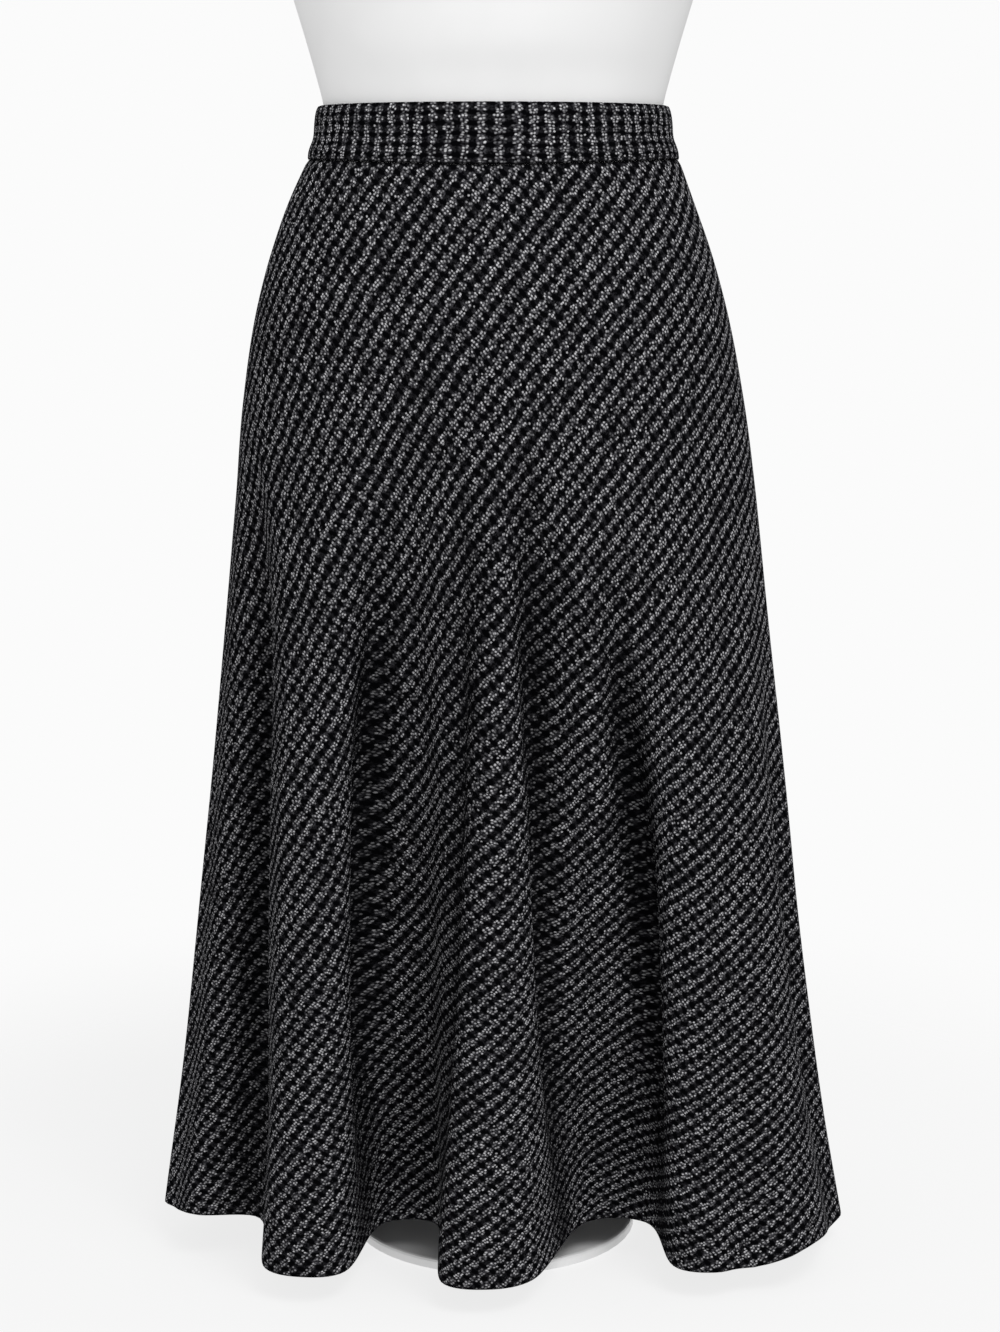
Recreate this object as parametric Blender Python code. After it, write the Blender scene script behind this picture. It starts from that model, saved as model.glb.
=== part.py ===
"""A-line midi skirt on a limbless dress form.

Metres, +Z up. The front faces -Y and the wearer's left is at +X. The origin is on the floor, under
the middle of the form's pole. Each cut or sewn piece is one object.

The skirt is a wall of cloth through level rings. Every ring starts from a smooth hull (SECTIONS)
and is pushed in and out towards the plan of the hem (FOLDS), more and more from each fold's start
down to the hem. So the cloth is smooth over the hips and deeply folded at the bottom.
"""

import math
from collections import namedtuple

import bmesh
import bpy
import numpy as np

# ------------------------------------------------------------------ driving sizes, in metres
SEAM_GAP = 0.0003            # air between pieces that meet
CLOTH = 0.0020               # one layer of wool tweed
BAND_THICKNESS = 0.0042      # the waistband is the same cloth, doubled

SEAM_Z = 0.7455              # seam of band and skirt, at the sides
BAND_TOP_Z = 0.7806          # folded top edge of the band
HEM_Z = 0.0300               # hem inside the folds
SEAM_DIP_FRONT = 0.0042      # the seam sinks towards the centre front
SEAM_DIP_BACK = 0.0015
FOLD_GROWTH = 0.90           # power of the folds' growth, 1 is even

ZIP_TAPE_THICKNESS = 0.0008
ZIP_PULL_BELOW_TOP = 0.0090  # the pull's pivot under the band's top edge

FORM_TOP_Z = 0.9000
FORM_BOTTOM_Z = 0.4300
POLE_RADIUS = 0.0125
PLATE_RADIUS = 0.1000
PLATE_THICKNESS = 0.0070
PLATE_BEVEL = 0.0020

# ------------------------------------------------------------------ fineness
FRONT_COLUMNS = 72
BACK_COLUMNS = 36
SKIRT_ROWS = 14
ROW_CROWDING = 1.2           # above 1, the rows crowd towards the hips
ZIP_ROWS = 4                 # the zip runs down this many rows of the back panels
ZIP_COLUMNS = 2              # and spreads over this many columns on each side of the seam
BAND_COLUMNS = 60
FORM_COLUMNS = 40
POLE_SIDES = 24
PLATE_SIDES = 48
OUTLINE_STEPS = 720          # points of a hull outline
TURN_STEPS = 24              # points between two turns of the hem's plan

# ------------------------------------------------------------------ tables
# Half sizes of the smooth hull from the middle axis. power 2 is an ellipse, more is squarer.
Section = namedtuple("Section", "name z left right front back power")
SECTIONS = (
    Section("waist seam", 0.7455, 0.1238, 0.1238, 0.0945, 0.0950, 2.00),
    Section("below seam", 0.7190, 0.1362, 0.1338, 0.0985, 0.1010, 2.00),
    Section("high hip",   0.6860, 0.1482, 0.1460, 0.1030, 0.1080, 2.00),
    Section("upper hip",  0.6530, 0.1575, 0.1558, 0.1065, 0.1130, 2.00),
    Section("hip",        0.5860, 0.1694, 0.1697, 0.1110, 0.1190, 2.00),
    Section("below hip",  0.5180, 0.1762, 0.1789, 0.1170, 0.1250, 2.05),
    Section("thigh",      0.4160, 0.1856, 0.1912, 0.1280, 0.1350, 2.15),
    Section("knee",       0.3130, 0.1963, 0.2031, 0.1400, 0.1470, 2.30),
    Section("calf",       0.2090, 0.2077, 0.2148, 0.1520, 0.1600, 2.40),
    Section("above hem",  0.1040, 0.2202, 0.2296, 0.1640, 0.1730, 2.50),
    Section("hem",        0.0300, 0.2310, 0.2430, 0.1720, 0.1830, 2.60),
)

# Plan of the hem, one fold a row, in the order front, right, back, left. The crest is the lobe
# that stands out and the valley is the hollow after it, each with its place, its breadth, the way
# the cloth heads there in degrees from +X towards +Y, and the height where it begins. drop is how
# much lower than the valleys the bias lets the crest hang.
Fold = namedtuple(
    "Fold",
    "name crest_x crest_y lobe crest_turn crest_start drop valley_x valley_y floor valley_turn valley_start",
)
FOLDS = (
    Fold("front left",   -0.1270, -0.1530, 0.052,  -8, 0.50, 0.009, -0.0580, -0.0795, 0.034,   0, 0.57),
    Fold("front middle", -0.0035, -0.1710, 0.058,   4, 0.60, 0.010,  0.0850, -0.0770, 0.040,  -4, 0.44),
    Fold("front right",   0.1470, -0.1455, 0.050,   4, 0.44, 0.009,  0.2080, -0.1190, 0.030,  44, 0.46),
    Fold("right side",    0.2445, -0.0380, 0.040,  82, 0.52, 0.010,  0.2060,  0.0560, 0.034, 104, 0.52),
    Fold("back right",    0.1560,  0.1500, 0.066, 146, 0.48, 0.010,  0.0820,  0.0840, 0.044, 184, 0.54),
    Fold("back middle",   0.0200,  0.1820, 0.064, 178, 0.56, 0.010, -0.0640,  0.0880, 0.040, 178, 0.50),
    Fold("back left",    -0.1420,  0.1560, 0.062, 208, 0.47, 0.010, -0.1860,  0.0540, 0.034, 250, 0.50),
    Fold("left side",    -0.2310, -0.0340, 0.026, 282, 0.55, 0.004, -0.1840, -0.0720, 0.044,   4, 0.56),
)
CREST_ROUNDING = 0.20        # how far a lobe's shoulders lie in from its crest, in lobe widths
VALLEY_ROUNDING = 0.12       # the same for the floor of a valley

# The band's outer face, from the seam (rise 0) to the top edge (rise 1).
BandSection = namedtuple("BandSection", "name rise side front back")
BAND_SECTIONS = (
    BandSection("seam",      0.00, 0.1240, 0.0946, 0.0951),
    BandSection("flare",     0.18, 0.1228, 0.0940, 0.0944),
    BandSection("hollow",    0.38, 0.1201, 0.0928, 0.0934),
    BandSection("bulge",     0.68, 0.1190, 0.0922, 0.0930),
    BandSection("shoulder",  0.88, 0.1182, 0.0916, 0.0926),
    BandSection("top",       1.00, 0.1172, 0.0908, 0.0920),
)

# The band's cross-section: rise up the band, and depth in from its outer face in thicknesses.
BandCorner = namedtuple("BandCorner", "rise depth")
BAND_CORNERS = (
    BandCorner(0.00, 0.00), BandCorner(0.20, 0.00), BandCorner(0.45, 0.00), BandCorner(0.75, 0.00),
    BandCorner(0.93, 0.06), BandCorner(1.00, 0.30), BandCorner(1.00, 0.70), BandCorner(0.93, 0.94),
    BandCorner(0.60, 1.00), BandCorner(0.25, 1.00), BandCorner(0.00, 1.00),
)

# The dress form, clear of the cloth all the way: half sizes from its axis.
FormSection = namedtuple("FormSection", "name z side front back")
FORM_SECTIONS = (
    FormSection("top",        FORM_TOP_Z, 0.1380, 0.1040, 0.0980),
    FormSection("top edge",   0.8970, 0.1430, 0.1085, 0.1020),
    FormSection("top round",  0.8880, 0.1438, 0.1090, 0.1025),
    FormSection("ribs",       0.8480, 0.1314, 0.1020, 0.0960),
    FormSection("under ribs", 0.8170, 0.1222, 0.0950, 0.0905),
    FormSection("over waist", 0.7960, 0.1164, 0.0885, 0.0875),
    FormSection("over band",  0.7850, 0.1136, 0.0862, 0.0862),
    FormSection("waist",      0.7720, 0.1116, 0.0850, 0.0852),
    FormSection("band foot",  0.7480, 0.1154, 0.0876, 0.0876),
    FormSection("below band", 0.7190, 0.1290, 0.0945, 0.0960),
    FormSection("high hip",   0.6860, 0.1420, 0.0995, 0.1035),
    FormSection("upper hip",  0.6530, 0.1510, 0.1020, 0.1075),
    FormSection("full hip",   0.6200, 0.1550, 0.1015, 0.1085),
    FormSection("hip",        0.5860, 0.1540, 0.0980, 0.1060),
    FormSection("low hip",    0.5400, 0.1480, 0.0925, 0.1020),
    FormSection("thigh",      0.5000, 0.1370, 0.0860, 0.0940),
    FormSection("closing",    0.4650, 0.1180, 0.0740, 0.0800),
    FormSection("underside",  0.4430, 0.0920, 0.0580, 0.0620),
    FormSection("bottom",     FORM_BOTTOM_Z, 0.0450, 0.0360, 0.0380),
)

# Half widths of the zip's pull, down from its pivot.
PullStation = namedtuple("PullStation", "down half_width")
PULL_STATIONS = (
    PullStation(-0.0005, 0.0019), PullStation(0.0000, 0.0023), PullStation(0.0046, 0.0023),
    PullStation(0.0060, 0.0015), PullStation(0.0085, 0.0016), PullStation(0.0125, 0.0024),
    PullStation(0.0150, 0.0021), PullStation(0.0160, 0.0010),
)
PULL_THICKNESS = 0.0010
EYE_TOP = 0.0005             # the eye under the pivot, down to EYE_BOTTOM
EYE_BOTTOM = 0.0044
EYE_HALF_WIDTH = 0.0014
SLIDER_THICKNESS = 0.0016
SLIDER_HALF_WIDTH = 0.0026
SLIDER_UP = 0.0040           # the slider's body above and below the pivot
SLIDER_DOWN = 0.0052
BRIDGE_HALF_WIDTH = 0.0007
BRIDGE_HALF_HEIGHT = 0.0021
BRIDGE_WALL = 0.0010
BRIDGE_HOLE_DEPTH = 0.0018

# ------------------------------------------------------------------ colours
Finish = namedtuple("Finish", "colour roughness metallic")
TWEED = Finish((0.045, 0.045, 0.050), 0.95, 0.0)
ZIP_CLOTH = Finish((0.010, 0.010, 0.011), 0.85, 0.0)
ZIP_METAL = Finish((0.020, 0.020, 0.022), 0.40, 0.6)
FORM_SKIN = Finish((0.820, 0.820, 0.825), 0.55, 0.0)
STAND_PAINT = Finish((0.800, 0.800, 0.800), 0.40, 0.0)


# ------------------------------------------------------------------ outlines
def table_value(table, key, column, where):
    """Smooth value of a table's column: a cubic through its rows, with slopes from the rows."""
    rows = sorted((getattr(row, key), getattr(row, column)) for row in table)
    places, values = np.array(rows).T
    slopes = np.gradient(values, places)
    where = np.clip(where, places[0], places[-1])
    low = np.clip(np.searchsorted(places, where) - 1, 0, len(places) - 2)
    span = places[low + 1] - places[low]
    part = (where - places[low]) / span
    return (
        (2 * part**3 - 3 * part**2 + 1) * values[low]
        + (part**3 - 2 * part**2 + part) * span * slopes[low]
        + (3 * part**2 - 2 * part**3) * values[low + 1]
        + (part**3 - part**2) * span * slopes[low + 1]
    )


def oval(left, right, front, back, power=2.0, steps=OUTLINE_STEPS):
    """Closed outline by even polar angles, from the back centre over the left side (-X)."""
    angles = np.linspace(-math.pi, math.pi, steps + 1)
    across, along = np.sin(angles), np.cos(angles)
    wide = np.where(across < 0, left, right)
    deep = np.where(along > 0, front, back)
    radius = ((np.abs(across) / wide) ** power + (np.abs(along) / deep) ** power) ** (-1 / power)
    return np.stack([radius * across, -radius * along], axis=1)


class Outline:
    """A closed plan curve that is read by the share of its length, 0 at the centre front.

    The share runs towards the wearer's left (+X) to 0.5 and to the other side to -0.5, so a piece
    of cloth keeps its share at every height.
    """

    def __init__(self, points):
        self.points = points
        steps = np.linalg.norm(np.diff(points[:, :2], axis=0), axis=1)
        self.length = steps.sum()
        self.shares = np.concatenate([[0.0], np.cumsum(steps)]) / self.length
        x, y = points[:, 0], points[:, 1]
        before = np.flatnonzero((x[:-1] <= 0) & (x[1:] > 0) & (y[:-1] < 0))[0]
        part = -x[before] / (x[before + 1] - x[before])
        self.front = self.shares[before] + part * (self.shares[before + 1] - self.shares[before])

    def at(self, share):
        """Every column of the outline at the given shares."""
        place = (np.asarray(share) + self.front) % 1.0
        columns = [np.interp(place, self.shares, column) for column in self.points.T]
        return np.stack(columns, axis=1)


def hull_outline(z):
    """The smooth hull at a height."""
    sizes = [table_value(SECTIONS, "z", name, z) for name in ("left", "right", "front", "back", "power")]
    return Outline(oval(*sizes))


def fold_turns():
    """Turning points of the hem's plan: x, y, the height where the fold begins, and the drop."""
    turns = []
    for fold in FOLDS:
        crest = (fold.crest_x, fold.crest_y, fold.lobe, fold.crest_turn, fold.crest_start)
        valley = (fold.valley_x, fold.valley_y, fold.floor, fold.valley_turn, fold.valley_start)
        for (x, y, breadth, turn, start), rounding, drop in (
            (crest, CREST_ROUNDING, fold.drop),
            (valley, -VALLEY_ROUNDING, 0.0),
        ):
            heading = np.array([math.cos(math.radians(turn)), math.sin(math.radians(turn))])
            inward = np.array([-heading[1], heading[0]])
            middle = np.array([x, y])
            for side in ((-0.5, 0.0, 0.5) if drop else (-0.5, 0.5)):
                place = middle + side * breadth * heading
                if side:
                    place = place + inward * breadth * rounding
                turns.append([place[0], place[1], start, drop])
    return np.array(turns)


def closed_spline(turns, steps):
    """Rounded closed curve through the turns: a centripetal Catmull-Rom spline."""
    curve = []
    count = len(turns)
    for index in range(count):
        group = [turns[(index + shift) % count] for shift in (-1, 0, 1, 2)]
        knots = [0.0]
        for first, second in zip(group, group[1:]):
            knots.append(knots[-1] + math.sqrt(np.linalg.norm((second - first)[:2])))
        for place in np.linspace(knots[1], knots[2], steps, endpoint=False):
            level = list(group)
            for reach in (1, 2):
                level = [
                    ((knots[i + reach] - place) * level[i] + (place - knots[i]) * level[i + 1])
                    / (knots[i + reach] - knots[i])
                    for i in range(len(level) - 1)
                ]
            share = (place - knots[1]) / (knots[2] - knots[1])
            curve.append(level[0] * (1 - share) + level[1] * share)
    curve.append(curve[0])
    return np.array(curve)


HEM_OUTLINE = Outline(closed_spline(fold_turns(), TURN_STEPS))
HEM_HULL = hull_outline(HEM_Z)


def seam_dip(share):
    """How far the seam of band and skirt lies under SEAM_Z."""
    turn = np.cos(2 * math.pi * np.asarray(share))
    return np.where(turn > 0, SEAM_DIP_FRONT, SEAM_DIP_BACK) * turn**2


def skirt_plan(share, z):
    """Plan points of the cloth's outer face on the ring of a nominal height."""
    hem = HEM_OUTLINE.at(share)
    start, push = hem[:, 2], hem[:, :2] - HEM_HULL.at(share)
    growth = np.clip((start - z) / (start - HEM_Z), 0.0, 1.0) ** FOLD_GROWTH
    return hull_outline(z).at(share) + growth[:, None] * push


def skirt_faces(share, z, depths):
    """Rows of points of one ring, one row for each depth in from the outer face."""
    step = 0.0005
    plan = skirt_plan(share, z)
    ahead = skirt_plan(share + step, z) - skirt_plan(share - step, z)
    ahead /= np.linalg.norm(ahead, axis=1)[:, None]
    inward = np.stack([-ahead[:, 1], ahead[:, 0]], axis=1)
    down = (SEAM_Z - z) / (SEAM_Z - HEM_Z)
    drop = HEM_OUTLINE.at(share)[:, 3]
    height = z - seam_dip(share) * (1 - down) ** 2 - drop * down**2
    return [np.column_stack([plan + depth * inward, height]) for depth in depths]


def band_outline(rise):
    """The band's outer face at a rise."""
    side, front, back = (table_value(BAND_SECTIONS, "rise", name, rise) for name in ("side", "front", "back"))
    return Outline(oval(side, side, front, back))


def band_height(share, rise):
    """Height of a point of the band, over the dipped seam."""
    foot = SEAM_Z + SEAM_GAP - seam_dip(share)
    return foot + rise * (BAND_TOP_Z - foot)


# ------------------------------------------------------------------ meshes
def finish_object(name, shape, finish, sharp_degrees=50.0):
    """Turn a bmesh into a named object with its own material and smooth shading."""
    bmesh.ops.recalc_face_normals(shape, faces=shape.faces)
    mesh = bpy.data.meshes.new(name)
    shape.to_mesh(mesh)
    shape.free()
    mesh.shade_smooth()
    mesh.set_sharp_from_angle(angle=math.radians(sharp_degrees))
    item = bpy.data.objects.new(name, mesh)
    bpy.context.scene.collection.objects.link(item)
    material = bpy.data.materials.new(name)
    material.use_nodes = True
    shader = material.node_tree.nodes["Principled BSDF"]
    shader.inputs["Base Color"].default_value = (*finish.colour, 1.0)
    shader.inputs["Roughness"].default_value = finish.roughness
    shader.inputs["Metallic"].default_value = finish.metallic
    mesh.materials.append(material)
    return item


def loft(name, loops, finish, sharp_degrees=50.0, strip_caps=False):
    """Closed body through closed loops of equal count, capped at both ends.

    strip_caps closes an end between the loop's first and second half, for the edge of a wall.
    """
    shape = bmesh.new()
    rings = [[shape.verts.new(point) for point in loop] for loop in loops]
    for ring, following in zip(rings, rings[1:]):
        for index, corner in enumerate(ring):
            after = (index + 1) % len(ring)
            shape.faces.new((corner, ring[after], following[after], following[index]))
    for ring in (rings[0], rings[-1]):
        if strip_caps:
            for near, far in zip(range(len(ring) // 2 - 1), range(len(ring) - 1, 0, -1)):
                shape.faces.new((ring[near], ring[near + 1], ring[far - 1], ring[far]))
        else:
            shape.faces.new(ring)
    return finish_object(name, shape, finish, sharp_degrees)


def row_heights():
    """Nominal heights of the skirt's rings, from the seam down."""
    return [SEAM_Z - (SEAM_Z - HEM_Z) * (row / SKIRT_ROWS) ** ROW_CROWDING for row in range(SKIRT_ROWS + 1)]


def seam_trim(z):
    """Half a seam gap as a share of the ring's length."""
    return SEAM_GAP / 2 / hull_outline(z).length


def skirt_panel(name, first_share, last_share, columns):
    """One cut panel: its columns run down the cloth and its loops run round the wall's edge."""
    outer, inner = [], []
    for z in row_heights():
        trim = seam_trim(z)
        shares = np.linspace(first_share + trim, last_share - trim, columns + 1)
        face, back = skirt_faces(shares, z, (0.0, CLOTH))
        outer.append(face)
        inner.append(back)
    outer, inner = np.array(outer), np.array(inner)
    loops = [np.concatenate([outer[:, column], inner[::-1, column]]) for column in range(columns + 1)]
    return loft(name, loops, TWEED, strip_caps=True)


def waistband():
    """The doubled strip round the waist, its ends meeting at the centre back."""
    trim = SEAM_GAP / 2 / band_outline(0.0).length
    shares = np.linspace(-0.5 + trim, 0.5 - trim, BAND_COLUMNS + 1)
    rows = []
    for corner in BAND_CORNERS:
        plan = band_outline(corner.rise).at(shares)
        centre_ward = -plan / np.linalg.norm(plan, axis=1)[:, None]
        plan = plan + centre_ward * corner.depth * BAND_THICKNESS
        rows.append(np.column_stack([plan, band_height(shares, corner.rise)]))
    rows = np.array(rows)
    return loft("waistband", [rows[:, column] for column in range(BAND_COLUMNS + 1)], TWEED)


def zip_tape():
    """The closed zip's tapes: the back panels' own points beside the seam, moved in."""
    near = CLOTH + SEAM_GAP
    pitch = 0.25 / BACK_COLUMNS
    loops = []
    for z in row_heights()[: ZIP_ROWS + 1]:
        trim = seam_trim(z)
        side = np.linspace(trim, pitch * ZIP_COLUMNS, ZIP_COLUMNS + 1)
        shares = 0.5 + np.concatenate([-side[::-1], side])
        outer, inner = skirt_faces(shares, z, (near, near + ZIP_TAPE_THICKNESS))
        loops.append(np.concatenate([outer, inner[::-1]]))
    return loft("zip_tape", loops, ZIP_CLOTH, strip_caps=True)


def block(low, high):
    """A bmesh box between two corners."""
    shape = bmesh.new()
    bmesh.ops.create_cube(shape, size=1.0)
    low, high = np.array(low), np.array(high)
    bmesh.ops.scale(shape, vec=high - low, verts=shape.verts)
    bmesh.ops.translate(shape, vec=(low + high) / 2, verts=shape.verts)
    return shape


def guide(item):
    """Keep a cutter or a joined shape out of the model itself."""
    item.hide_render = True
    item.display_type = "WIRE"
    return item


def combine(item, other, operation):
    """Add a live Boolean to an object."""
    boolean = item.modifiers.new(operation.title(), "BOOLEAN")
    boolean.operation = operation
    boolean.solver = "EXACT"
    boolean.object = guide(other)


def pull_pivot():
    """Where the zip's pull turns: outside the band at the centre back."""
    z = BAND_TOP_Z - ZIP_PULL_BELOW_TOP
    rise = (z - SEAM_Z) / (BAND_TOP_Z - SEAM_Z)
    face = table_value(BAND_SECTIONS, "rise", "back", rise)
    return face + SEAM_GAP + SLIDER_THICKNESS + BRIDGE_HOLE_DEPTH / 2, z


def zip_slider():
    """The slider's body against the band, and the bridge that holds the pull."""
    y, z = pull_pivot()
    face = y - BRIDGE_HOLE_DEPTH / 2
    body = block(
        (-SLIDER_HALF_WIDTH, face - SLIDER_THICKNESS, z - SLIDER_DOWN),
        (SLIDER_HALF_WIDTH, face, z + SLIDER_UP),
    )
    bmesh.ops.bevel(
        body, geom=body.edges, offset=0.0005, offset_type="OFFSET", segments=2, profile=0.5,
        affect="EDGES", material=-1,
    )
    slider = finish_object("zip_slider", body, ZIP_METAL)
    bridge = finish_object(
        "bridge_shape",
        block(
            (-BRIDGE_HALF_WIDTH, face - SLIDER_THICKNESS / 2, z - BRIDGE_HALF_HEIGHT),
            (BRIDGE_HALF_WIDTH, face + BRIDGE_HOLE_DEPTH + BRIDGE_WALL, z + BRIDGE_HALF_HEIGHT),
        ),
        ZIP_METAL,
    )
    hole = finish_object(
        "bridge_hole",
        block(
            (-0.01, face, z - BRIDGE_HALF_HEIGHT + BRIDGE_WALL),
            (0.01, face + BRIDGE_HOLE_DEPTH, z + BRIDGE_HALF_HEIGHT - BRIDGE_WALL),
        ),
        ZIP_METAL,
    )
    combine(slider, bridge, "UNION")
    combine(slider, hole, "DIFFERENCE")
    return slider


def zip_pull():
    """The pull tab, hanging from the bridge by its eye. Its origin is on its pivot."""
    right = [(station.half_width, -station.down) for station in PULL_STATIONS]
    edge = right + [(-x, z) for x, z in reversed(right)]
    half = PULL_THICKNESS / 2
    loops = [[(x, y, z) for x, z in edge] for y in (-half, half)]
    pull = loft("zip_pull", loops, ZIP_METAL)
    eye = finish_object(
        "eye_hole",
        block((-EYE_HALF_WIDTH, -0.01, -EYE_BOTTOM), (EYE_HALF_WIDTH, 0.01, -EYE_TOP)),
        ZIP_METAL,
    )
    y, z = pull_pivot()
    pull.location = eye.location = (0.0, y, z)
    combine(pull, eye, "DIFFERENCE")
    return pull


def dress_form():
    """The limbless hip form that fills and carries the skirt, closed at both ends."""
    loops = []
    for section in FORM_SECTIONS:
        ring = oval(section.side, section.side, section.front, section.back, steps=FORM_COLUMNS)[:-1]
        loops.append(np.column_stack([ring, np.full(len(ring), section.z)]))
    return loft("dress_form", loops, FORM_SKIN, sharp_degrees=60.0)


def pole():
    """The post from the base plate up to the form."""
    foot, head = PLATE_THICKNESS + SEAM_GAP, FORM_BOTTOM_Z - SEAM_GAP
    shape = bmesh.new()
    bmesh.ops.create_cone(
        shape, cap_ends=True, segments=POLE_SIDES, radius1=POLE_RADIUS, radius2=POLE_RADIUS,
        depth=head - foot,
    )
    bmesh.ops.translate(shape, vec=(0.0, 0.0, (head + foot) / 2), verts=shape.verts)
    return finish_object("pole", shape, STAND_PAINT)


def base_plate():
    """The round plate on the floor, with its upper edge rounded."""
    shape = bmesh.new()
    bmesh.ops.create_cone(
        shape, cap_ends=True, segments=PLATE_SIDES, radius1=PLATE_RADIUS, radius2=PLATE_RADIUS,
        depth=PLATE_THICKNESS,
    )
    bmesh.ops.translate(shape, vec=(0.0, 0.0, PLATE_THICKNESS / 2), verts=shape.verts)
    middle = PLATE_THICKNESS / 2
    rim = [edge for edge in shape.edges if all(vert.co.z > middle for vert in edge.verts)]
    bmesh.ops.bevel(
        shape, geom=rim, offset=PLATE_BEVEL, offset_type="OFFSET", segments=2, profile=0.5,
        affect="EDGES", material=-1,
    )
    return finish_object("base_plate", shape, STAND_PAINT)


def build():
    """Make every piece of the skirt and its form."""
    for item in list(bpy.data.objects):
        bpy.data.objects.remove(item, do_unlink=True)
    skirt_panel("front_panel", -0.25, 0.25, FRONT_COLUMNS)
    skirt_panel("back_panel_left", 0.25, 0.50, BACK_COLUMNS)
    skirt_panel("back_panel_right", -0.50, -0.25, BACK_COLUMNS)
    waistband()
    zip_tape()
    zip_slider()
    zip_pull()
    dress_form()
    pole()
    base_plate()


build()
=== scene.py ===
"""Looks of an A-line midi skirt in flecked wool tweed, on a limbless dress form.

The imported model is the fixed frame: metres, +Z up, the front facing -Y. Each cloth piece is a fine
wall on its solid's own surface, with the smaller creases added, and carries a weave that follows
the cut. The form, the zip and the stand get their finishes here too.
"""

from __future__ import annotations

import logging
import math
from dataclasses import dataclass, field
from enum import Enum
from typing import Callable, NamedTuple

import bmesh
import bpy
import mathutils
import numpy as np
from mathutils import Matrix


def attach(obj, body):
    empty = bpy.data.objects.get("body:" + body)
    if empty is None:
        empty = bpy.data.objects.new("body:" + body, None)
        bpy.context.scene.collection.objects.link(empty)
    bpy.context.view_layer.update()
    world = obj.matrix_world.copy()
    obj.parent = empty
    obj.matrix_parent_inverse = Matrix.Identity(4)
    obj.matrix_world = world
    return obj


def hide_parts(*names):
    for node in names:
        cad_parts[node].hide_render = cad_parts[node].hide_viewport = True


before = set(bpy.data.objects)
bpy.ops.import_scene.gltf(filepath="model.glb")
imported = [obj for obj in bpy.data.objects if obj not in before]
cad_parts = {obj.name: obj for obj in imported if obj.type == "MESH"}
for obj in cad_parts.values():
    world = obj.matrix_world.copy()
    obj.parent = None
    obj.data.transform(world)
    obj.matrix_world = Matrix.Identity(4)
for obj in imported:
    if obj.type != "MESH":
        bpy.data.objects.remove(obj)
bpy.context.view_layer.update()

LOG = logging.getLogger("skirt")
ROOT_BODY = "skirt_on_form"
WEAVE_MAP = "weave"
SHADE_NAME = "shade"
TAU = 2 * math.pi
QUARTER = 0.25  # of the skirt's round: from the middle of the front to a side seam

Pair = tuple[float, float]
Place = tuple[float, float, float]
Colour = tuple[float, float, float, float]
WHITE: Colour = (1.0, 1.0, 1.0, 1.0)

# ------------------------------------------------------------------ sizes shared with the solids
SEAM_GAP = 0.0003
CLOTH = 0.0020
BAND_THICKNESS = 0.0042
SEAM_Z = 0.7455
BAND_TOP_Z = 0.7806
BAND_RISE = 0.0351
HEM_Z = 0.0300
SEAM_DIP_FRONT = 0.0042
SEAM_DIP_BACK = 0.0015
FOLD_GROWTH = 0.90
CREST_ROUNDING = 0.20
VALLEY_ROUNDING = 0.12


class Section(NamedTuple):
    """One ring of the skirt's smooth hull: half sizes from the middle axis."""

    name: str
    z: float
    left: float
    right: float
    front: float
    back: float
    power: float


SECTIONS = (
    Section("waist seam", 0.7455, 0.1238, 0.1238, 0.0945, 0.0950, 2.00),
    Section("below seam", 0.7190, 0.1362, 0.1338, 0.0985, 0.1010, 2.00),
    Section("high hip", 0.6860, 0.1482, 0.1460, 0.1030, 0.1080, 2.00),
    Section("upper hip", 0.6530, 0.1575, 0.1558, 0.1065, 0.1130, 2.00),
    Section("hip", 0.5860, 0.1694, 0.1697, 0.1110, 0.1190, 2.00),
    Section("below hip", 0.5180, 0.1762, 0.1789, 0.1170, 0.1250, 2.05),
    Section("thigh", 0.4160, 0.1856, 0.1912, 0.1280, 0.1350, 2.15),
    Section("knee", 0.3130, 0.1963, 0.2031, 0.1400, 0.1470, 2.30),
    Section("calf", 0.2090, 0.2077, 0.2148, 0.1520, 0.1600, 2.40),
    Section("above hem", 0.1040, 0.2202, 0.2296, 0.1640, 0.1730, 2.50),
    Section("hem", 0.0300, 0.2310, 0.2430, 0.1720, 0.1830, 2.60),
)


class Fold(NamedTuple):
    """One fold of the hem's plan: its crest, and the valley that follows it."""

    name: str
    crest_x: float
    crest_y: float
    lobe: float
    crest_turn: float
    crest_start: float
    drop: float
    valley_x: float
    valley_y: float
    floor: float
    valley_turn: float
    valley_start: float
    valley_drop: float = 0.0


FOLDS = tuple(
    Fold(*row)
    for row in (
        ("front left", -0.1270, -0.1530, 0.052, -8, 0.50, 0.009,
         -0.0580, -0.0795, 0.034, 0, 0.57),
        ("front middle", -0.0035, -0.1710, 0.058, 4, 0.60, 0.010,
         0.0850, -0.0770, 0.040, -4, 0.44),
        ("front right", 0.1470, -0.1455, 0.050, 4, 0.44, 0.009,
         0.2080, -0.1190, 0.030, 44, 0.46, 0.007),
        ("right side", 0.2445, -0.0380, 0.040, 82, 0.52, 0.010,
         0.2060, 0.0560, 0.034, 104, 0.52),
        ("back right", 0.1560, 0.1500, 0.066, 146, 0.48, 0.010,
         0.0820, 0.0840, 0.044, 184, 0.54),
        ("back middle", 0.0200, 0.1820, 0.064, 178, 0.56, 0.010,
         -0.0640, 0.0880, 0.040, 178, 0.50),
        ("back left", -0.1420, 0.1560, 0.062, 208, 0.47, 0.010,
         -0.1860, 0.0540, 0.034, 250, 0.50),
        ("left side", -0.2310, -0.0340, 0.026, 282, 0.55, 0.004,
         -0.1840, -0.0720, 0.044, 4, 0.56),
    )
)


class HemLift(NamedTuple):
    """How far the hem is drawn up (below 0: hangs lower) at one share of its round."""

    share: float
    lift: float


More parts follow.
